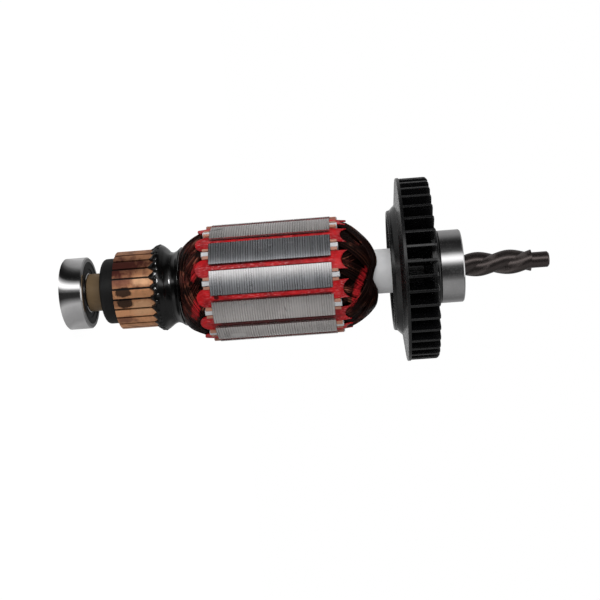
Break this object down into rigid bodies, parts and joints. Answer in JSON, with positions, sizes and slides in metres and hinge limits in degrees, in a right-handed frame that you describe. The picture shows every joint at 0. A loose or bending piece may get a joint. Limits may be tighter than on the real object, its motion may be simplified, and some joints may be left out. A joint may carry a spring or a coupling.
{
  "type": "motor armature",
  "caption": "Wound power-tool motor armature: commutator, slotted core, red slot strips, cooling fan, sealed ball bearings and a helical pinion on one shaft.",
  "frame": {"origin": "centre of the rear ball bearing's outer face, on the shaft's axis, where the armature stands on end", "axes": "+Z along the shaft from the commutator end to the pinion tip; +X and +Y square to it"},
  "size_m": [0.0554, 0.0554, 0.1471],
  "materials": {
    "ground_steel": "dark oiled steel",
    "bearing_steel": "ground and polished",
    "cage_nylon": "natural nylon",
    "seal_rubber": "matt black",
    "tan_phenolic": "matt tan",
    "commutator_copper": "turned copper, stained",
    "black_moulding": "matt phenolic",
    "black_varnish": "glossy varnish",
    "winding_wire": "dark red-brown enamel",
    "core_steel": "turned laminations",
    "white_nylon": "satin white",
    "tan_liner": "slot paper",
    "red_fibre": "varnished red fibre",
    "black_nylon": "moulded black"
  },
  "bodies": {
    "armature": {"shaft": "ground_steel", "rear_spacer": "tan_phenolic", "commutator_bars": "commutator_copper", "commutator_moulding": "black_moulding", "lead_wires": "winding_wire", "resin_coating": "black_varnish", "core_tube": "white_nylon", "lamination_stack": "core_steel", "rear_end_insulator": "white_nylon", "front_end_insulator": "white_nylon", "slot_liners": "tan_liner", "slot_wedges": "red_fibre", "winding": "winding_wire", "front_sleeve": "white_nylon", "fan": "black_nylon", "rear_bearing_inner_ring": "bearing_steel", "front_bearing_inner_ring": "bearing_steel"},
    "rear_outer": {"rear_bearing_outer_ring": "bearing_steel", "rear_bearing_inboard_seal": "seal_rubber", "rear_bearing_outboard_seal": "seal_rubber"},
    "rear_balls": {"rear_bearing_balls": "bearing_steel", "rear_bearing_cage": "cage_nylon"},
    "front_outer": {"front_bearing_outer_ring": "bearing_steel", "front_bearing_inboard_seal": "seal_rubber", "front_bearing_outboard_seal": "seal_rubber"},
    "front_balls": {"front_bearing_balls": "bearing_steel", "front_bearing_cage": "cage_nylon"}
  },
  "joints": [
    {"name": "rear_bearing_turn", "type": "hinge", "parent": "armature", "child": "rear_outer", "pos_m": [0, 0, 0.0035], "axis": [0, 0, 1], "continuous": true},
    {"name": "rear_cage_turn", "type": "hinge", "parent": "armature", "child": "rear_balls", "pos_m": [0, 0, 0.0035], "axis": [0, 0, 1], "continuous": true},
    {"name": "front_bearing_turn", "type": "hinge", "parent": "armature", "child": "front_outer", "pos_m": [0, 0, 0.1175], "axis": [0, 0, 1], "continuous": true},
    {"name": "front_cage_turn", "type": "hinge", "parent": "armature", "child": "front_balls", "pos_m": [0, 0, 0.1175], "axis": [0, 0, 1], "continuous": true}
  ],
  "couplings": [
    {"joint": "rear_cage_turn", "follows": "rear_bearing_turn", "ratio": 0.63227},
    {"joint": "front_cage_turn", "follows": "front_bearing_turn", "ratio": 0.63227}
  ]
}
